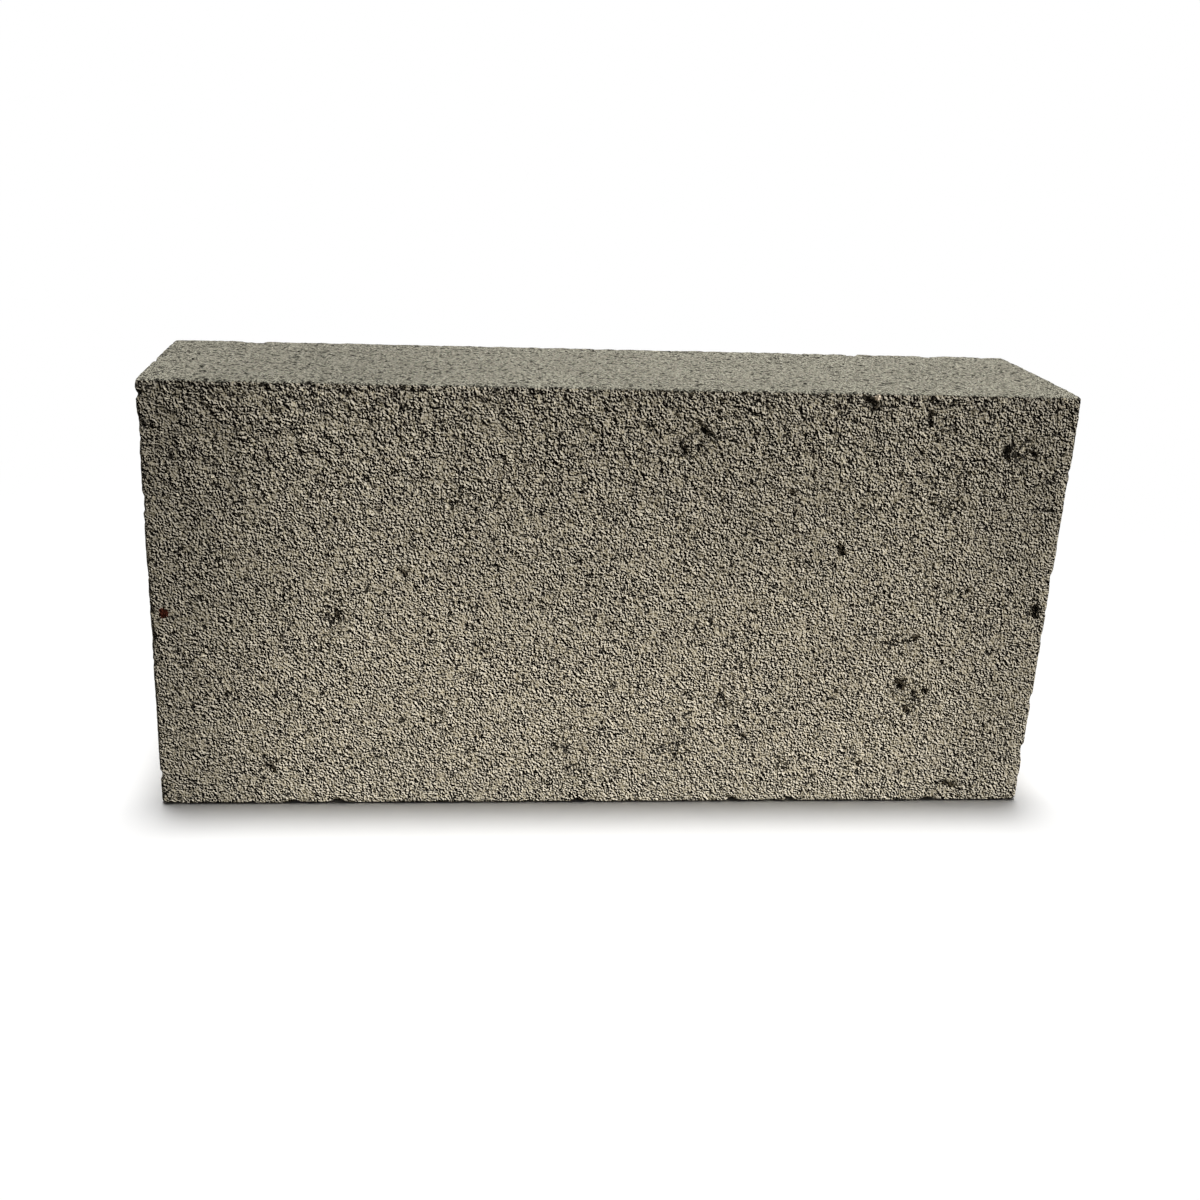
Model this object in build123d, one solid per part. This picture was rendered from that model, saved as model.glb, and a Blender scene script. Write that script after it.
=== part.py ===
"""Solid dense-aggregate concrete block, pressed as one piece, in millimetres.

The block stands on its lower bed face, as it is laid in a wall. The origin is the centre of that
face: +X runs along the length, +Y through the thickness to the back, and +Z up to the upper bed.
"""

import os

from build123d import *

# Work size of the block: the 450 x 225 walling module less one 10 mm mortar joint each way.
MODULE_LENGTH = 450.0
MODULE_HEIGHT = 225.0
MORTAR_JOINT = 10.0
BLOCK_THICKNESS = 100.0

BLOCK_LENGTH = MODULE_LENGTH - MORTAR_JOINT
BLOCK_HEIGHT = MODULE_HEIGHT - MORTAR_JOINT

# Edges as they leave the mould: the upright ones take the round of the mould box's corners, and
# the arrises round the two beds are worn a little by the press and by handling.
UPRIGHT_EDGE_RADIUS = 4.0
BED_ARRIS_RADIUS = 2.0

PARTS_FOLDER = "parts"


def mould_box():
    """The block's bare prism, standing on z = 0, with its four upright edges rounded."""
    prism = Box(
        BLOCK_LENGTH,
        BLOCK_THICKNESS,
        BLOCK_HEIGHT,
        align=(Align.CENTER, Align.CENTER, Align.MIN),
    )
    return fillet(prism.edges().filter_by(Axis.Z), UPRIGHT_EDGE_RADIUS)


def concrete_block():
    """The finished block: the prism with the arris of its upper and lower bed rounded all round."""
    prism = mould_box()
    beds = prism.faces().filter_by(Axis.Z)
    return fillet(beds.edges(), BED_ARRIS_RADIUS)


def main():
    os.makedirs(PARTS_FOLDER, exist_ok=True)
    export_step(concrete_block(), os.path.join(PARTS_FOLDER, "concrete_block.step"))


main()
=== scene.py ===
"""Dense-aggregate concrete block: its pressed surface, its concrete and the studio round it."""

import math
from types import SimpleNamespace

import bmesh
import bpy
import numpy as np
from bpy.props import FloatProperty, FloatVectorProperty, IntProperty, PointerProperty
from mathutils import Matrix, Vector, noise


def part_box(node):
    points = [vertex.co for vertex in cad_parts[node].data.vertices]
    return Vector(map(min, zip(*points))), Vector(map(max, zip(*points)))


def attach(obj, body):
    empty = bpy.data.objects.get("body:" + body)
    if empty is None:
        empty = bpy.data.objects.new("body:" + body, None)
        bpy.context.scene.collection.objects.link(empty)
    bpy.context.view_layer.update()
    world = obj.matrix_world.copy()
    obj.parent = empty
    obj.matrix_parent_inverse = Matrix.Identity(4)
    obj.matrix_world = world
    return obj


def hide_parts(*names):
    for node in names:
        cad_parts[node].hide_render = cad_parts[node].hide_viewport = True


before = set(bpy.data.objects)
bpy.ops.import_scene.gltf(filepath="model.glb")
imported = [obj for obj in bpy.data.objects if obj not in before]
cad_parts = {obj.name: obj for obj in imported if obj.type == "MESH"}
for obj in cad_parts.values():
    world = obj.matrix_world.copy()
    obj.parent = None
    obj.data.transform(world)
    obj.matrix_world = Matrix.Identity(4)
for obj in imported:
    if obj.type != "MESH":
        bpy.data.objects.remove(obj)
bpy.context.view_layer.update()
BLOCK_LOW, BLOCK_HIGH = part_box("concrete_block")
BLOCK_SIZE = BLOCK_HIGH - BLOCK_LOW

bl_info = {
    "name": "Concrete block",
    "version": (1, 0, 0),
    "blender": (4, 5, 0),
    "location": "View3D > Sidebar > Concrete",
    "description": "Presses a solid concrete walling block and sets a plain studio round it",
    "category": "Add Mesh",
}

MM = 0.001
PER_MM = 1.0 / MM
PIECE = "pressed_block"
NODE = "concrete_block"
PHOTO_SIDE = 1200.0
SENSOR = 36.0
WHITE = (1.0, 1.0, 1.0, 1.0)
LAMP_DISTANCE = 2.0

# How far the noise moves from one seed to the next, in lumps, and how the material's noise is
# turned, so that no grid of it lies along a face.
SEED_STEP = 17.3
NOISE_TURN = (0.5, 0.35, 0.75)

# Ways along the front, the back and the ends towards the light that falls on them.
FRONT_WAY = (0.72, 0.0, 0.69)
BACK_WAY = (-0.60, 0.0, 0.30)
END_WAY = (0.0, -0.35, 0.50)

# How far off, in millimetres, a crumb or a clod shades the face, and the least slope that does.
CRUMB_REACHES = (0.3, 0.6)
CLOD_REACH = 0.9
SHADE_SLOPE = 0.42

# Heights and depths of the fine relief, in millimetres.
SAND_HEIGHT = 2.6
CLOD_HEIGHT = 0.9
PIT_DEPTH = 1.4
HOLE_DEPTH = 1.3
GAP_DEPTH = 1.6
BED_SAND_HEIGHT = 4.2
BED_LUMP_HEIGHT = 4.6
BED_HOLE_DEPTH = 1.0

# Sizes of the patterns in the concrete.
SAND_PATCH = 3.0 * MM
CRUMB_PATCH = 4.5 * MM
PIT_PATCH = 14.0 * MM
TONE_PATCH = 60.0 * MM
HOLE_SIZE = 2.9 * MM
RUBBLE_SIZE = 1.15 * MM
BED_LUMP_SIZE = 2.1 * MM
TINT_SIZE = 1.3 * MM

# The two odd stones of the front face, in millimetres: the middle of each, and its radius.
BROWN_STONE = ((-213.0, -49.5, 102.6), 2.6)
PALE_STONE = ((120.5, -49.3, 212.8), 1.8)

# Voids that stand out on the front face: along the length and up from the lower bed, then how
# long, how wide and how deep they are, all in millimetres, and how far they lean, in degrees.
FRONT_VOIDS = (
    (117, 210, 12, 5, 3.5, 140),
    (182, 9, 8, 3.5, 3, 165),
    (212, 106, 8, 5, 3.5, 110),
    (111, 137, 6.5, 4, 3.5, 105),
    (-166, 20, 6, 4, 3.5, 0),
    (149, 66, 6.5, 4, 3.5, 120),
    (161, 62, 5.5, 4.5, 3, 45),
    (153, 53, 5, 3, 3, 105),
    (153, 91, 5, 3, 3, 55),
    (147, 203, 9, 3, 3, 100),
    (186, 188, 6.5, 3.5, 3, 100),
    (41, 194, 5.5, 3.5, 3, 160),
    (31, 186, 6, 3, 2.5, 95),
    (199, 187, 8, 2.5, 2.5, 165),
    (-100, 123, 5, 3.5, 3, 140),
    (-132, 102, 6.5, 3, 3, 110),
    (70, 36, 5.5, 3, 2.5, 50),
    (132, 21, 4.5, 3, 3, 20),
    (-67, 69, 5, 2.5, 2.5, 90),
)

# Spots of the front face where the crumbs hold together loosely, in millimetres: place and radius.
FRONT_LOOSE = (
    (-20, 35, 14),
    (-14, 18, 10),
    (36, 32, 12),
    (59, 60, 14),
    (92, 23, 10),
    (47, 99, 10),
    (-78, 161, 10),
    (-138, 88, 10),
    (163, 161, 14),
    (144, 88, 14),
    (155, 128, 10),
    (155, 60, 16),
    (-132, 102, 12),
    (36, 190, 14),
    (192, 188, 14),
)


class BlockSizes(bpy.types.PropertyGroup):
    """The block's outline and the fineness of its mesh"""

    length: FloatProperty(
        name="Length", description="Along the wall", default=BLOCK_SIZE.x, unit="LENGTH"
    )
    thickness: FloatProperty(
        name="Thickness", description="Through the wall", default=BLOCK_SIZE.y, unit="LENGTH"
    )
    height: FloatProperty(
        name="Height", description="From bed to bed", default=BLOCK_SIZE.z, unit="LENGTH"
    )
    upright_radius: FloatProperty(
        name="Upright radius",
        description="Round of the four upright edges",
        default=2.6 * MM,
        unit="LENGTH",
    )
    arris_radius: FloatProperty(
        name="Arris radius",
        description="Round of the edges of the two beds",
        default=1.6 * MM,
        unit="LENGTH",
    )
    grid_pitch: FloatProperty(
        name="Grid pitch",
        description="Mesh pitch at which the surface is pressed, before it is thinned",
        default=0.8 * MM,
        unit="LENGTH",
    )
    triangles: IntProperty(
        name="Triangles", description="Triangles left after thinning", default=194000, min=1000
    )


class BlockSurface(bpy.types.PropertyGroup):
    """The relief of the open faces and of the tight beds"""

    plate_size: FloatProperty(
        name="Plate size",
        description="Distance between the smooth plates of paste",
        default=6.5 * MM,
        unit="LENGTH",
    )
    crevice_size: FloatProperty(
        name="Crevice spacing",
        description="Distance between the open crevices of the mesh",
        default=7.0 * MM,
        unit="LENGTH",
    )
    lump_size: FloatProperty(
        name="Lump size",
        description="Distance between the stones that stand out of the paste",
        default=3.8 * MM,
        unit="LENGTH",
    )
    crevice_depth: FloatProperty(
        name="Crevice depth",
        description="Depth of the cracks between plates",
        default=1.0 * MM,
        unit="LENGTH",
    )
    lump_depth: FloatProperty(
        name="Lump depth",
        description="Depth between neighbouring stones",
        default=0.32 * MM,
        unit="LENGTH",
    )
    void_depth: FloatProperty(
        name="Void depth",
        description="Depth of the larger open voids",
        default=1.3 * MM,
        unit="LENGTH",
    )
    chip_depth: FloatProperty(
        name="Chip depth",
        description="Depth of the chips along the edges",
        default=1.4 * MM,
        unit="LENGTH",
    )
    bed_pit_depth: FloatProperty(
        name="Bed pit depth",
        description="Depth of the fine pits in the pressed beds",
        default=0.9 * MM,
        unit="LENGTH",
    )
    grain_size: FloatProperty(
        name="Grain size",
        description="Distance between the grains of sand",
        default=0.9 * MM,
        unit="LENGTH",
    )
    grain_height: FloatProperty(
        name="Grain height",
        description="Scale of the sandy relief",
        default=1.0 * MM,
        unit="LENGTH",
    )


class BlockColours(bpy.types.PropertyGroup):
    """The colours of the concrete, and of its painted shade"""

    paste: FloatVectorProperty(
        name="Paste",
        description="Cement paste on the open faces",
        default=(0.58, 0.529, 0.43),
        subtype="COLOR",
        min=0.0,
        max=1.0,
    )
    # Painted shade: a browner copy of the paste for the side of each crumb turned from the light.
    shaded: FloatVectorProperty(
        name="Sheltered paste",
        description="Browner paste on the sheltered sides of the crumbs",
        default=(0.517, 0.446, 0.284),
        subtype="COLOR",
        min=0.0,
        max=1.0,
    )
    bed: FloatVectorProperty(
        name="Bed",
        description="Tight paste of the pressed beds",
        default=(0.337, 0.321, 0.257),
        subtype="COLOR",
        min=0.0,
        max=1.0,
    )
    # Painted shade: a near-black colour painted where the crumbs' shadows, pits, gaps and recesses
    # lie.
    crevice: FloatVectorProperty(
        name="Crevice",
        description="Damp dust in cracks and voids",
        default=(0.0018, 0.0009, 0.0003),
        subtype="COLOR",
        min=0.0,
        max=1.0,
    )
    pale_grain: FloatVectorProperty(
        name="Pale grain",
        description="Scattered pale sand grains",
        default=(0.66, 0.60, 0.46),
        subtype="COLOR",
        min=0.0,
        max=1.0,
    )
    dark_grain: FloatVectorProperty(
        name="Dark grain",
        description="Scattered dark sand grains",
        default=(0.15, 0.13, 0.10),
        subtype="COLOR",
        min=0.0,
        max=1.0,
    )
    brown_stone: FloatVectorProperty(
        name="Brown stone",
        description="Single brown stone in the front face",
        default=(0.042, 0.010, 0.005),
        subtype="COLOR",
        min=0.0,
        max=1.0,
    )
    pale_stone: FloatVectorProperty(
        name="Pale stone",
        description="Single pale stone at the top arris",
        default=(0.85, 0.72, 0.55),
        subtype="COLOR",
        min=0.0,
        max=1.0,
    )


class StageSettings(bpy.types.PropertyGroup):
    """The camera, the lights and the floor"""

    camera_place: FloatVectorProperty(
        name="Camera place",
        description="Where the camera stands",
        default=(-0.0847, -0.6605, 0.3447),
        subtype="TRANSLATION",
        unit="LENGTH",
    )
    camera_pitch: FloatProperty(
        name="Pitch",
        description="How far the camera looks down",
        default=math.radians(19.47),
        subtype="ANGLE",
    )
    camera_yaw: FloatProperty(
        name="Yaw",
        description="How far the camera turns to the left",
        default=math.radians(-4.87),
        subtype="ANGLE",
    )
    camera_roll: FloatProperty(
        name="Roll",
        description="How far the camera leans to the left",
        default=math.radians(2.15),
        subtype="ANGLE",
    )
    focal_pixels: FloatProperty(
        name="Focal length", description="Focal length in pixels of the photograph", default=1359.0
    )
    axis_across: FloatProperty(
        name="Axis across", description="Pixel column that the lens axis meets", default=544.7
    )
    axis_down: FloatProperty(
        name="Axis down", description="Pixel row that the lens axis meets", default=566.0
    )
    key_direction: FloatVectorProperty(
        name="Key direction",
        description="Towards the key light",
        default=(0.66, -0.42, 0.62),
        subtype="DIRECTION",
    )
    key_level: FloatProperty(
        name="Key level", description="Share of a full white that the key gives", default=1.42
    )
    fill_level: FloatProperty(
        name="Fill level", description="Share of a full white that the room gives", default=0.04
    )
    key_spread: FloatProperty(
        name="Key spread",
        description="How wide the key looks from the block",
        default=math.radians(6.0),
        subtype="ANGLE",
    )
    card_level: FloatProperty(
        name="Card level", description="Power of the low warm card in front, in watts", default=0.13
    )
    card_colour: FloatVectorProperty(
        name="Card colour",
        description="Colour of the card's light",
        default=(1.0, 0.85, 0.65),
        subtype="COLOR",
        min=0.0,
        max=1.0,
    )
    card_place: FloatVectorProperty(
        name="Card place",
        description="Where the card lies",
        default=(0.02, -0.14, 0.002),
        subtype="TRANSLATION",
        unit="LENGTH",
    )
    card_direction: FloatVectorProperty(
        name="Card direction",
        description="Away from what the card faces",
        default=(0.0, -0.3, -0.95),
        subtype="DIRECTION",
    )
    card_length: FloatProperty(
        name="Card length", description="Length of the card", default=0.42, unit="LENGTH"
    )
    card_width: FloatProperty(
        name="Card width", description="Width of the card", default=0.16, unit="LENGTH"
    )
    back_direction: FloatVectorProperty(
        name="Back direction",
        description="Towards the lamp behind",
        default=(-0.66, 0.72, 0.20),
        subtype="DIRECTION",
    )
    back_level: FloatProperty(
        name="Back level", description="Share of a full white of the lamp behind", default=1.15
    )
    back_spread: FloatProperty(
        name="Back spread",
        description="How wide the lamp behind looks from the block",
        default=math.radians(20.0),
        subtype="ANGLE",
    )
    floor_direction: FloatVectorProperty(
        name="Floor direction",
        description="Towards the floor's own lamp",
        default=(0.0, 0.074, 0.997),
        subtype="DIRECTION",
    )
    floor_level: FloatProperty(
        name="Floor level", description="Share of a full white of the floor's own lamp", default=1.06
    )
    floor_spread: FloatProperty(
        name="Floor spread",
        description="How wide the floor's own lamp looks",
        default=math.radians(11.5),
        subtype="ANGLE",
    )
    floor_radius: FloatProperty(
        name="Floor radius", description="Radius of the floor", default=12.0, unit="LENGTH"
    )
    white_from: FloatProperty(
        name="White from",
        description="Distance from the middle at which the floor starts to turn white",
        default=0.45,
        unit="LENGTH",
    )
    white_past: FloatProperty(
        name="White past",
        description="Distance from the middle past which the floor is white",
        default=0.75,
        unit="LENGTH",
    )
    bounce_colour: FloatVectorProperty(
        name="Bounce colour",
        description="Colour of the floor for the light that it throws back",
        default=(0.12, 0.12, 0.12),
        subtype="COLOR",
        min=0.0,
        max=1.0,
    )
    floor_colour: FloatVectorProperty(
        name="Floor colour",
        description="Colour of the floor",
        default=(0.92, 0.92, 0.92),
        subtype="COLOR",
        min=0.0,
        max=1.0,
    )


class Wire:
    """A node's output, on which Python's arithmetic adds Math nodes."""

    def __init__(self, graph, socket):
        self.graph = graph
        self.socket = socket

    def _math(self, operation, first, second):
        return self.graph.add("ShaderNodeMath", {"operation": operation}, {0: first, 1: second})

    def __add__(self, other):
        return self._math("ADD", self, other)

    __radd__ = __add__

    def __sub__(self, other):
        return self._math("SUBTRACT", self, other)

    def __rsub__(self, other):
        return self._math("SUBTRACT", other, self)

    def __mul__(self, other):
        return self._math("MULTIPLY", self, other)

    __rmul__ = __mul__


class Graph:
    """A node tree, with one method that makes any node."""

    def __init__(self, tree):
        self.tree = tree
        tree.nodes.clear()

    def add(self, kind, settings=None, inputs=None, output=0):
        """A new node: its settings are set first, then its sockets' values or links."""
        node = self.tree.nodes.new(kind)
        for name, value in (settings or {}).items():
            setattr(node, name, value)
        for key, value in (inputs or {}).items():
            if isinstance(value, Wire):
                self.tree.links.new(value.socket, node.inputs[key])
            else:
                node.inputs[key].default_value = value
        return Wire(self, node.outputs[output]) if len(node.outputs) else None

    def ramp(self, value, low, high):
        """0 below low, 1 above high and a smooth rise between; low may be the larger."""
        return self.add(
            "ShaderNodeMapRange",
            {"interpolation_type": "SMOOTHSTEP"},
            {"Value": value, "From Min": low, "From Max": high},
        )

    def mix(self, factor, first, second, blend="MIX"):
        """Two colours mixed by a factor."""
        return self.add(
            "ShaderNodeMix",
            {"data_type": "RGBA", "blend_type": blend},
            {0: factor, 6: first, 7: second},
            output=2,
        )

    def larger(self, first, second):
        """The larger of two values."""
        return self.add("ShaderNodeMath", {"operation": "MAXIMUM"}, {0: first, 1: second})

    def at_most_one(self, value):
        """A value held down to 1."""
        return self.add("ShaderNodeMath", {"operation": "MINIMUM"}, {0: value, 1: 1.0})

    def stored(self, name, output="Fac"):
        """A value that is stored on the mesh."""
        return self.add("ShaderNodeAttribute", {"attribute_name": name}, output=output)

    def noise(self, place, size, detail=0.0):
        """Smooth noise of 0 to 1, with lumps of about this size."""
        return self.add(
            "ShaderNodeTexNoise", {}, {"Vector": place, "Scale": 1.0 / size, "Detail": detail}
        )

    def tints(self, place, size):
        """Cells of about this size, each of a colour of its own."""
        return self.add(
            "ShaderNodeTexVoronoi", {}, {"Vector": place, "Scale": 1.0 / size}, output="Color"
        )


def opaque(colour):
    """A colour with its alpha, as a node's socket takes it."""
    return (*colour, 1.0)


def smooth(value, low, high):
    """0 below low, 1 above high and a smooth rise between; low may be the larger."""
    share = np.clip((value - low) / (high - low), 0.0, 1.0)
    return share * share * (3.0 - 2.0 * share)


def lumps(points, size, seed):
    """Smooth noise of about -1 to 1 at each point, with lumps of about this size."""
    scaled = (points / size + SEED_STEP * seed).tolist()
    return np.fromiter(map(noise.noise, scaled), float, len(scaled))


def swirl(points, size, seed):
    """Smooth moves of about -1 to 1 each way at each point, in lumps of about this size."""
    # Vector noise takes its seed from the clock unless one is set.
    noise.seed_set(seed)
    scaled = (points / size + SEED_STEP * seed).tolist()
    return np.array([tuple(noise.noise_vector(p)) for p in scaled])


def cells(points, size, seed):
    """Distance to the nearest and to the second nearest of scattered cell centres."""
    scaled = (points / size + SEED_STEP * seed).tolist()
    found = np.array([noise.voronoi(p)[0][:2] for p in scaled])
    return found[:, 0], found[:, 1]


def gridded_prism(sizes):
    """A prism on z = 0, cut into a fine even grid on every face."""
    extent = Vector((sizes.length, sizes.thickness, sizes.height))
    bm = bmesh.new()
    bmesh.ops.create_cube(bm, size=1.0)
    bmesh.ops.scale(bm, vec=extent, verts=bm.verts)
    bmesh.ops.translate(bm, vec=(0.0, 0.0, extent.z / 2), verts=bm.verts)
    for axis in range(3):
        along = [e for e in bm.edges if abs(e.verts[0].co[axis] - e.verts[1].co[axis]) > MM]
        cuts = round(extent[axis] / sizes.grid_pitch) - 1
        bmesh.ops.subdivide_edges(bm, edges=along, cuts=cuts, use_grid_fill=True)
    mesh = bpy.data.meshes.new(PIECE)
    bm.to_mesh(mesh)
    bm.free()
    return mesh


def mesh_points(mesh):
    """A mesh's points as an array."""
    flat = np.empty(len(mesh.vertices) * 3, np.float32)
    mesh.vertices.foreach_get("co", flat)
    return flat.reshape(-1, 3).astype(float)


def half_extent(sizes):
    """Half the block's length, thickness and height."""
    return np.array((sizes.length, sizes.thickness, sizes.height)) / 2


def rounded_points(points, sizes):
    """The prism's points with its edges rounded, and the way that each of them faces."""
    half = half_extent(sizes)
    middle = np.array((0.0, 0.0, half[2]))
    offset = points - middle
    to_corner = np.sort(half - np.abs(offset), axis=1)[:, 2]

    # The upright edges are rounder than the arrises of the beds, and the corners are worn.
    to_bed = half[2] - np.abs(offset[:, 2])
    upright = smooth(to_bed, 2 * MM, 16 * MM)
    radius = sizes.arris_radius + (sizes.upright_radius - sizes.arris_radius) * upright
    radius = radius * (1.0 + 0.35 * lumps(points, 22 * MM, seed=1))
    worn = 0.6 + 0.8 * lumps(points, 60 * MM, seed=2)
    radius = radius + 1.2 * MM * smooth(to_corner, 14 * MM, 2 * MM) * worn
    radius = np.clip(radius, 0.8 * MM, 8 * MM)[:, None]
    core = np.clip(offset, radius - half, half - radius)
    outward = offset - core
    outward = outward / np.maximum(np.linalg.norm(outward, axis=1, keepdims=True), 1e-9)
    return middle + core + outward * radius, outward


def face_depth(rounded, up, waves, surface):
    """How deep the open faces lie: crevices, stones and voids, most of them under the top arris."""
    openness = 0.16 * smooth(up, 0.70, 0.97) - 0.10 * smooth(up, 0.45, 0.10)
    bent = rounded + 1.2 * MM * swirl(rounded, 4 * MM, seed=3)
    near, second = cells(bent, surface.crevice_size, seed=4)
    open_here = openness + 0.30 * waves.broad + 0.40 * waves.middling + 0.30 * waves.small
    crevice = smooth(second - near, 0.16, 0.02) * smooth(open_here, 0.10, 0.42)
    sunken = smooth(open_here, 0.0, 0.60)
    stone, neighbour = cells(bent, surface.lump_size, seed=9)
    joint = smooth(neighbour - stone, 0.34, 0.0)
    cluster = smooth(lumps(rounded, 38 * MM, seed=10), -0.10, 0.40)
    pocket = lumps(rounded, 5.5 * MM, seed=11) + 0.45 * waves.small
    void = smooth(pocket, 0.66, 0.86) * (0.30 + 0.70 * cluster)

    depth = surface.crevice_depth * crevice
    depth = np.maximum(depth, surface.lump_depth * (0.45 + 0.55 * sunken) * joint)
    depth = depth + 0.22 * MM * sunken + 0.10 * MM * (waves.fine + waves.small)
    depth = np.maximum(depth, surface.void_depth * void)
    return depth + 0.20 * MM * (1.0 + waves.broad)


def front_void_depth(points, rounded, sizes):
    """How deep the listed voids of the front face are, with ragged outlines."""
    depth = np.zeros(len(points))
    front = points[:, 1] < 1.5 * MM - sizes.thickness / 2
    ragged = 1.0 + 0.60 * lumps(rounded, 3.4 * MM, seed=12) + 0.60 * lumps(rounded, 1.8 * MM, seed=16)
    for along, high, long, wide, deep, lean in FRONT_VOIDS:
        across = points[:, 0] - along * MM
        upward = points[:, 2] - high * MM
        reach = front & (np.abs(across) < long * MM) & (np.abs(upward) < long * MM)
        turn = math.radians(lean)
        u = (across[reach] * math.cos(turn) + upward[reach] * math.sin(turn)) / (0.7 * long * MM)
        v = (upward[reach] * math.cos(turn) - across[reach] * math.sin(turn)) / (0.7 * wide * MM)
        share = np.hypot(u, v) * ragged[reach]
        depth[reach] = np.maximum(depth[reach], 0.62 * deep * MM * smooth(share, 1.1, 0.4))
    return depth


def bed_depth(points, rounded, waves, sizes, surface):
    """How deep the beds lie: almost flush, with fine pits that are coarser towards the left end."""
    near, _ = cells(rounded, 5.5 * MM, seed=13)
    coarse_end = smooth(points[:, 0], -50 * MM, -sizes.length / 2)
    chance = lumps(rounded, 7 * MM, seed=14) + 0.25 * coarse_end
    pit = smooth(near, 0.20 + 0.10 * coarse_end, 0.08) * smooth(chance, 0.05, 0.35)
    depth = 0.12 * MM * (1.0 + waves.middling) + surface.bed_pit_depth * pit
    return depth + 0.22 * MM * (1.0 + waves.small) + 0.16 * MM * waves.fine


def press_points(points, sizes, surface):
    """The prism's points with its edges rounded and its surface pressed, pitted and chipped."""
    rounded, outward = rounded_points(points, sizes)
    waves = SimpleNamespace(
        broad=lumps(rounded, 30 * MM, seed=5),
        middling=lumps(rounded, 9 * MM, seed=6),
        small=lumps(rounded, 4.2 * MM, seed=7),
        fine=lumps(rounded, 2.4 * MM, seed=8),
    )
    depth = face_depth(rounded, points[:, 2] / sizes.height, waves, surface)
    depth = np.maximum(depth, front_void_depth(points, rounded, sizes))
    bed = smooth(np.abs(outward[:, 2]), 0.55, 0.9)
    depth = depth + (bed_depth(points, rounded, waves, sizes, surface) - depth) * bed

    # The lower bed stands on the floor, so it is pressed almost flat.
    depth = depth * (1.0 - 0.85 * smooth(-outward[:, 2], 0.9, 0.99))

    # Chips along the edges.
    half = half_extent(sizes)
    to_edge = np.sort(half - np.abs(points - (0.0, 0.0, half[2])), axis=1)[:, 1]
    chip = smooth(lumps(rounded, 8 * MM, seed=15) + 0.4 * waves.small, 0.18, 0.75)
    depth = depth + surface.chip_depth * chip * smooth(to_edge, 7 * MM, 0.5 * MM)
    return rounded - outward * np.maximum(depth, 0.0)[:, None]


def surface_values(points, sizes):
    """For each point: how far it lies below the block's outline, and how much it is bed."""
    half = half_extent(sizes)
    offset = np.abs(points - (0.0, 0.0, half[2]))
    radius = sizes.arris_radius
    past = offset - (half - radius)
    outside = np.linalg.norm(np.maximum(past, 0.0), axis=1)
    recess = radius - outside - np.minimum(past.max(axis=1), 0.0)
    bed = smooth(past[:, 2] - past[:, :2].max(axis=1), -1.2 * MM, 1.2 * MM)
    return np.maximum(recess, 0.0), bed


def ways_to_light(points, sizes):
    """For each point: the way along its face to the light, shorter where the light stands high."""
    past = np.abs(points[:, :2]) - half_extent(sizes)[:2]
    on_end = (past[:, 0] > past[:, 1])[:, None]
    on_back = (points[:, 1] > 0.0)[:, None]
    on_side = np.where(on_back, BACK_WAY, FRONT_WAY)
    return np.where(on_end, END_WAY, on_side)


def looseness(points, sizes):
    """For each point: how loosely the crumbs hold together, in the loose spots of the front."""
    loose = np.zeros(len(points))
    for along, high, radius in FRONT_LOOSE:
        away = np.hypot(points[:, 0] - along * MM, points[:, 2] - high * MM)
        loose = np.maximum(loose, smooth(away, radius * MM, 0.3 * radius * MM))
    return np.where(points[:, 1] < 4 * MM - sizes.thickness / 2, loose, 0.0)


def store(mesh, name, values):
    """Keeps a number or a vector for each point of a mesh."""
    kind, field = ("FLOAT", "value") if values.ndim == 1 else ("FLOAT_VECTOR", "vector")
    attribute = mesh.attributes.new(name, kind, "POINT")
    attribute.data.foreach_set(field, values.astype(np.float32).ravel())


def thinned(block, triangles):
    """The block's mesh with its flattest triangles merged, down to that many."""
    block.data.calc_loop_triangles()
    thin = block.modifiers.new("thin", "DECIMATE")
    thin.ratio = triangles / len(block.data.loop_triangles)
    thin.use_collapse_triangulate = True
    shown = block.evaluated_get(bpy.context.evaluated_depsgraph_get())
    mesh = bpy.data.meshes.new_from_object(shown)
    block.modifiers.clear()
    return mesh


def turned(graph, stand):
    """Places turned, as the noise takes them."""
    return graph.add("ShaderNodeMapping", {}, {"Vector": stand, "Rotation": NOISE_TURN})


def nearer_light(graph, stand, way, reach):
    """Turned places that lie that far along the way to the light."""
    moved = graph.add(
        "ShaderNodeVectorMath",
        {"operation": "MULTIPLY_ADD"},
        {0: way, 1: (reach, reach, reach), 2: stand},
    )
    return turned(graph, moved)


def crumbs(graph, place, size, fine, coarse, opened):
    """Height of the open faces' crumbs, in millimetres: sand, flat crumbs and small pits."""
    sand = (graph.noise(place, size) - 0.5) * SAND_HEIGHT * fine
    crumb = (graph.ramp(graph.noise(place, 2.0 * size, detail=1.0), 0.48, 0.53) - 0.5) * coarse
    pit = graph.ramp(graph.noise(place, 2.3 * size, detail=1.0) - opened, 0.40, 0.375)
    return sand + crumb - pit * PIT_DEPTH


def clods(graph, place, size, stand_out):
    """Height of the crisp-edged plates that stand out of the face, in millimetres."""
    return (graph.ramp(graph.noise(place, size, detail=1.5), 0.47, 0.52) - 0.5) * stand_out


def shared_fields(graph):
    """What the parts of the concrete share; along, up and deep are in millimetres."""
    stand = graph.add("ShaderNodeTexCoord", output="Object")
    place = turned(graph, stand)
    return SimpleNamespace(
        stand=stand,
        place=place,
        along=graph.add("ShaderNodeSeparateXYZ", {}, {"Vector": stand}, output="X") * PER_MM,
        up=graph.add("ShaderNodeSeparateXYZ", {}, {"Vector": stand}, output="Z") * PER_MM,
        deep=graph.stored("recess") * PER_MM,
        bed=graph.stored("bed"),
        loose=graph.stored("loose"),
        way=graph.stored("way_to_light", output="Vector"),
        hole=graph.noise(place, HOLE_SIZE, detail=1.0),
        rubble=graph.noise(place, RUBBLE_SIZE),
        broad=graph.noise(place, TONE_PATCH, detail=3.0),
    )


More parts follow.
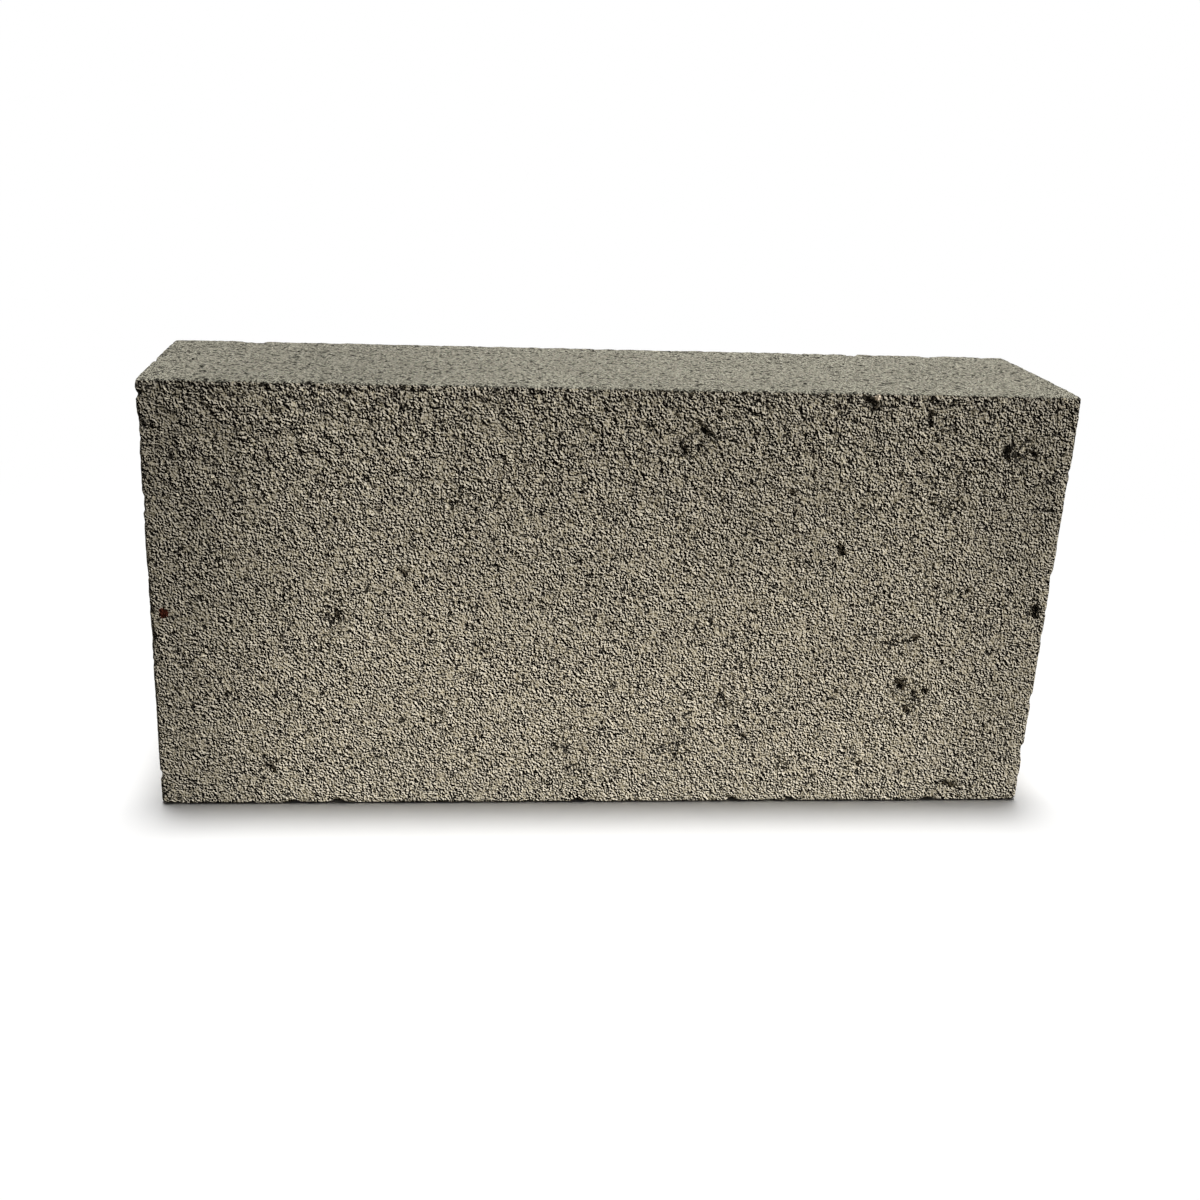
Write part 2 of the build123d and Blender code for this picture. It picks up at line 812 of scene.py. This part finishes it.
def open_face(graph, at, surface):
    """The open faces: height in millimetres, painted shade, shaded sides and sandiness."""
    # The calmer plates of paste, and the patches of finer and coarser crumbs.
    sandy = graph.ramp(graph.noise(at.place, surface.plate_size), 0.36, 0.56) * 0.55 + 0.5
    high = graph.ramp(at.up, 110.0, 200.0)
    fine = graph.ramp(graph.noise(at.place, SAND_PATCH), 0.40, 0.60) * 0.8 + 0.65 - high * 0.12
    patch = graph.noise(at.place, CRUMB_PATCH)
    coarse = graph.ramp(patch, 0.46, 0.62) * 0.6 + 0.4 + high * 0.2

    # How far the pits are open: in clusters, under the top arris, in voids and in loose spots.
    cluster = graph.ramp(graph.noise(at.place, PIT_PATCH, detail=1.0), 0.52, 0.66)
    opened = cluster * 0.03 - 0.014 + high * 0.004 + graph.ramp(at.up, 205.0, 211.0) * 0.03
    opened = opened + graph.ramp(at.deep, 1.0, 1.5) * 0.09 + at.loose * 0.02

    stand_out = high * CLOD_HEIGHT
    clod = clods(graph, at.place, surface.plate_size, stand_out)
    relief = crumbs(graph, at.place, surface.grain_size, fine, coarse, opened)

    # The side of each crumb and clod turned from the light gets a painted shadow in the colour.
    shade = 0.0
    for reach in CRUMB_REACHES:
        toward = nearer_light(graph, at.stand, at.way, reach * MM)
        ahead = crumbs(graph, toward, surface.grain_size, fine, coarse, opened)
        rise = (ahead - relief) * sandy
        shade = graph.larger(graph.ramp(rise - SHADE_SLOPE * reach, 0.0, 0.06), shade)
    # Painted shade: how far each spot lies on a side turned from the light, later painted browner.
    shaded = graph.ramp(rise, -0.35, 0.35)
    toward = nearer_light(graph, at.stand, at.way, CLOD_REACH * MM)
    rise = clods(graph, toward, surface.plate_size, stand_out) - clod + rise * 0.35
    shade = graph.larger(graph.ramp(rise, 0.38, 0.52), shade)

    # Larger holes, and crisp gaps around the crumbs of the loose spots.
    relief = relief - graph.ramp(at.hole - opened * 1.2, 0.36, 0.335) * HOLE_DEPTH
    from_edge = graph.add(
        "ShaderNodeMath", {"operation": "ABSOLUTE"}, {0: patch + at.hole * 0.5 - 0.74}
    )
    gap = graph.ramp(from_edge + at.rubble * 0.10 - at.loose * 0.115, 0.0, -0.01)
    relief = relief - gap * GAP_DEPTH
    shade = shade * (1.0 - at.loose * 0.3)
    # Painted shade: the crumbs' shadows and the deepest pits, holes and gaps turn near-black.
    painted_shade = graph.at_most_one(shade + graph.ramp(relief, -0.85, -1.15) * 0.9)
    return relief * sandy + clod, painted_shade, shaded, sandy


def face_tone(graph, at, colours, painted_shade, shaded, sandy, lot, rare):
    """The colour of the open faces, with painted light: paler towards the foot, darker towards the
    ends.
    """
    # Painted light falloff: the faces are painted darker upwards and towards the two ends.
    ends = graph.ramp(at.along, -130.0, -225.0) * 0.40 + graph.ramp(at.along, 140.0, 225.0) * 0.18
    level = (at.broad * 0.25 + lot * 0.20 + 0.78) * (1.20 - at.up * 0.0021) * (1.0 - ends)
    level = level * (sandy * 0.25 + 0.78)
    # Painted shade: a browner paste on the side of each crumb turned from the light.
    tone = graph.mix(shaded, opaque(colours.paste), opaque(colours.shaded))
    tone = graph.mix(1.0, tone, level, "MULTIPLY")
    tone = graph.mix(graph.ramp(rare, 0.965, 0.975) * 0.6, tone, opaque(colours.pale_grain))
    tone = graph.mix(graph.ramp(rare, 0.045, 0.035) * 0.6, tone, opaque(colours.dark_grain))
    # Painted shade: the near-black crevice colour over the crumbs' shadows, pits and gaps.
    return graph.mix(painted_shade, tone, opaque(colours.crevice))


def tight_bed(graph, at, colours):
    """The beds: height in millimetres, and colour with painted shade in their low spots, pits and
    recesses.
    """
    lumpy = graph.noise(at.place, BED_LUMP_SIZE)
    rough_end = graph.ramp(at.along, 20.0, -200.0)
    hole = graph.ramp(at.hole - rough_end * 0.012, 0.385, 0.355)
    height = (at.rubble - 0.5) * BED_SAND_HEIGHT + (lumpy - 0.5) * BED_LUMP_HEIGHT
    height = height - hole * BED_HOLE_DEPTH
    # Painted light and shade: paler on the high sand and darker in the low; darker towards the rough
    # end.
    level = at.broad * 0.35 + at.rubble * 0.6 + lumpy * 0.6 + 0.33 - rough_end * 0.17
    tone = graph.mix(1.0, opaque(colours.bed), level, "MULTIPLY")
    # Painted shade: the recesses, the pits and the lowest sand turn towards the near-black crevice
    # colour.
    painted_shade = graph.ramp(at.deep, 0.7, 1.4) * 0.6 + hole * 0.7 + graph.ramp(at.rubble, 0.40, 0.28) * 0.6
    return height, graph.mix(graph.at_most_one(painted_shade), tone, opaque(colours.crevice))


def with_stone(graph, tone, at, stone, colour):
    """The tone with one small, ragged stone of another colour in it."""
    middle, radius = stone
    away = graph.add(
        "ShaderNodeVectorMath",
        {"operation": "DISTANCE"},
        {0: at.stand, 1: tuple(part * MM for part in middle)},
        output="Value",
    )
    share = graph.ramp(away * PER_MM + (at.rubble - 0.5) * 2.5, radius, radius - 0.4)
    return graph.mix(share, tone, opaque(colour))


def pressed_concrete(colours, surface):
    """Open, sandy concrete on the faces and tight, fine concrete on the beds."""
    material = bpy.data.materials.new("pressed_concrete")
    material.use_nodes = True
    material.cycles.use_bump_map_correction = False
    graph = Graph(material.node_tree)
    at = shared_fields(graph)
    tint = graph.tints(at.place, TINT_SIZE)
    lot = graph.add("ShaderNodeSeparateColor", {}, {"Color": tint}, output="Red")
    rare = graph.add("ShaderNodeSeparateColor", {}, {"Color": tint}, output="Green")

    face_height, painted_shade, shaded, sandy = open_face(graph, at, surface)
    bed_height, bed_tone = tight_bed(graph, at, colours)
    bed = graph.ramp(at.bed + (at.rubble - 0.5) * 0.8, 0.40, 0.60)
    height = (face_height * (1.0 - bed) + bed_height * bed) * surface.grain_height
    tone = face_tone(graph, at, colours, painted_shade, shaded, sandy, lot, rare)
    colour = graph.mix(bed, tone, bed_tone)
    colour = with_stone(graph, colour, at, BROWN_STONE, colours.brown_stone)
    colour = with_stone(graph, colour, at, PALE_STONE, colours.pale_stone)

    rough = 0.93 - 0.10 * lot * (1.0 - bed)
    bump = graph.add("ShaderNodeBump", {}, {"Strength": 1.0, "Distance": 1.0, "Height": height})
    shader = graph.add(
        "ShaderNodeBsdfPrincipled",
        {},
        {"Base Color": colour, "Roughness": rough, "Normal": bump, "Specular IOR Level": 0.05},
    )
    graph.add("ShaderNodeOutputMaterial", {}, {"Surface": shader})
    return material


class CONCRETE_OT_press_block(bpy.types.Operator):
    """Press the block: one closed piece with open faces, tight beds and worn edges"""

    bl_idname = "concrete.press_block"
    bl_label = "Press block"

    def execute(self, context):
        scene = context.scene
        sizes = scene.block_sizes
        mesh = gridded_prism(sizes)
        points = press_points(mesh_points(mesh), sizes, scene.block_surface)
        mesh.vertices.foreach_set("co", points.astype(np.float32).ravel())
        mesh.update()
        block = bpy.data.objects.new(PIECE, mesh)
        scene.collection.objects.link(block)
        block.data = thinned(block, sizes.triangles)
        left = mesh_points(block.data)
        recess, bed = surface_values(left, sizes)
        store(block.data, "recess", recess)
        store(block.data, "bed", bed)
        store(block.data, "loose", looseness(left, sizes))
        store(block.data, "way_to_light", ways_to_light(left, sizes))
        block.data.shade_smooth()
        block.data.materials.append(pressed_concrete(scene.block_colours, scene.block_surface))
        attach(block, "root")
        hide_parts(NODE)
        return {"FINISHED"}


def lamp(name, kind, toward, energy):
    """A lamp that shines from that direction."""
    light = bpy.data.lights.new(name, kind)
    light.energy = energy
    holder = bpy.data.objects.new(name, light)
    holder.location = Vector(toward).normalized() * LAMP_DISTANCE
    holder.rotation_mode = "QUATERNION"
    holder.rotation_quaternion = Vector(toward).to_track_quat("Z", "Y")
    bpy.context.scene.collection.objects.link(holder)
    return holder


def sun(name, toward, level, spread, piece):
    """A sun that lights one piece alone, a facing white surface to this share of a full white."""
    holder = lamp(name, "SUN", toward, math.pi * level)
    holder.data.angle = spread
    only_lights(holder, piece)


def low_card(stage, piece):
    """A warm card that lies on the floor in front and lights one piece alone."""
    card = lamp("card", "AREA", stage.card_direction, stage.card_level)
    card.data.shape = "RECTANGLE"
    card.data.size = stage.card_length
    card.data.size_y = stage.card_width
    card.data.color = stage.card_colour
    card.location = stage.card_place
    card.visible_camera = False
    only_lights(card, piece)


def only_lights(holder, piece):
    """Has a lamp light one piece alone."""
    group = bpy.data.collections.new(holder.name + "_lights")
    group.objects.link(piece)
    holder.light_linking.receiver_collection = group


def pale_floor(stage):
    """A wide pale floor on z = 0, which keeps the block's shadow and is white far out."""
    bm = bmesh.new()
    bmesh.ops.create_circle(bm, cap_ends=True, segments=96, radius=stage.floor_radius)
    mesh = bpy.data.meshes.new("studio_floor")
    bm.to_mesh(mesh)
    bm.free()
    floor = bpy.data.objects.new("studio_floor", mesh)
    bpy.context.scene.collection.objects.link(floor)
    material = bpy.data.materials.new("pale_floor")
    material.use_nodes = True
    graph = Graph(material.node_tree)
    place = graph.add("ShaderNodeTexCoord", output="Object")
    away = graph.add("ShaderNodeVectorMath", {"operation": "LENGTH"}, {0: place}, output="Value")
    seen = graph.add("ShaderNodeLightPath", output="Is Camera Ray")
    tone = graph.mix(seen, opaque(stage.bounce_colour), opaque(stage.floor_colour))
    near = graph.add("ShaderNodeBsdfDiffuse", {}, {"Color": tone, "Roughness": 0.0})
    far = graph.add("ShaderNodeEmission", {}, {"Color": WHITE, "Strength": 1.0})
    factor = graph.ramp(away, stage.white_from, stage.white_past) * seen
    shader = graph.add("ShaderNodeMixShader", {}, {0: factor, 1: near, 2: far})
    graph.add("ShaderNodeOutputMaterial", {}, {"Surface": shader})
    mesh.materials.append(material)
    return floor


def white_room(level):
    """A room that is white to look at and gives a soft, even fill."""
    world = bpy.data.worlds.new("white_room")
    bpy.context.scene.world = world
    world.use_nodes = True
    graph = Graph(world.node_tree)
    camera = graph.add("ShaderNodeLightPath", output="Is Camera Ray")
    glossy = graph.add("ShaderNodeLightPath", output="Is Glossy Ray")
    through = graph.add("ShaderNodeLightPath", output="Is Transmission Ray")
    seen = graph.larger(graph.larger(camera, glossy), through)
    fill = graph.add("ShaderNodeBackground", {}, {"Color": WHITE, "Strength": level})
    plain = graph.add("ShaderNodeBackground", {}, {"Color": WHITE, "Strength": 1.0})
    shader = graph.add("ShaderNodeMixShader", {}, {0: seen, 1: fill, 2: plain})
    graph.add("ShaderNodeOutputWorld", {}, {"Surface": shader})


def stand_camera(stage):
    """The camera at the photograph's viewing angle."""
    data = bpy.data.cameras.new("camera")
    data.sensor_width = SENSOR
    data.lens = stage.focal_pixels / PHOTO_SIDE * SENSOR
    data.shift_x = 0.5 - stage.axis_across / PHOTO_SIDE
    data.shift_y = stage.axis_down / PHOTO_SIDE - 0.5
    data.clip_start = 0.01
    data.clip_end = 50.0
    camera = bpy.data.objects.new("camera", data)
    turn = Matrix.Rotation(stage.camera_yaw, 4, "Z")
    tilt = Matrix.Rotation(math.pi / 2 - stage.camera_pitch, 4, "X")
    lean = Matrix.Rotation(stage.camera_roll, 4, "Z")
    camera.matrix_world = Matrix.Translation(stage.camera_place) @ turn @ tilt @ lean
    bpy.context.scene.collection.objects.link(camera)
    bpy.context.scene.camera = camera


class CONCRETE_OT_set_stage(bpy.types.Operator):
    """Set the stage: the pale floor, the white room, the lamps and the camera"""

    bl_idname = "concrete.set_stage"
    bl_label = "Set stage"

    def execute(self, context):
        scene = context.scene
        stage = scene.stage_settings
        block = scene.objects[PIECE]
        floor = pale_floor(stage)
        white_room(stage.fill_level)
        sun("key", stage.key_direction, stage.key_level, stage.key_spread, block)
        low_card(stage, block)
        sun("back", stage.back_direction, stage.back_level, stage.back_spread, block)
        sun("floor_wash", stage.floor_direction, stage.floor_level, stage.floor_spread, floor)
        stand_camera(stage)
        scene.view_settings.view_transform = "Standard"
        return {"FINISHED"}


class CONCRETE_PT_block(bpy.types.Panel):
    """The block's operators, sizes and colours"""

    bl_label = "Concrete block"
    bl_idname = "CONCRETE_PT_block"
    bl_space_type = "VIEW_3D"
    bl_region_type = "UI"
    bl_category = "Concrete"

    def draw(self, context):
        for operator in OPERATORS:
            self.layout.operator(operator.bl_idname)
        for holder in SETTINGS:
            column = self.layout.column()
            group = getattr(context.scene, holder)
            for name in group.bl_rna.properties.keys():
                if name not in ("rna_type", "name"):
                    column.prop(group, name)


SETTINGS = {
    "block_sizes": BlockSizes,
    "block_surface": BlockSurface,
    "block_colours": BlockColours,
    "stage_settings": StageSettings,
}
OPERATORS = (CONCRETE_OT_press_block, CONCRETE_OT_set_stage)
CLASSES = (*SETTINGS.values(), *OPERATORS, CONCRETE_PT_block)


def register():
    for made in CLASSES:
        bpy.utils.register_class(made)
    for holder, group in SETTINGS.items():
        setattr(bpy.types.Scene, holder, PointerProperty(type=group))


def unregister():
    for holder in SETTINGS:
        delattr(bpy.types.Scene, holder)
    for made in reversed(CLASSES):
        bpy.utils.unregister_class(made)


def main():
    register()
    bpy.ops.concrete.press_block()
    bpy.ops.concrete.set_stage()


if __name__ == "__main__":
    main()
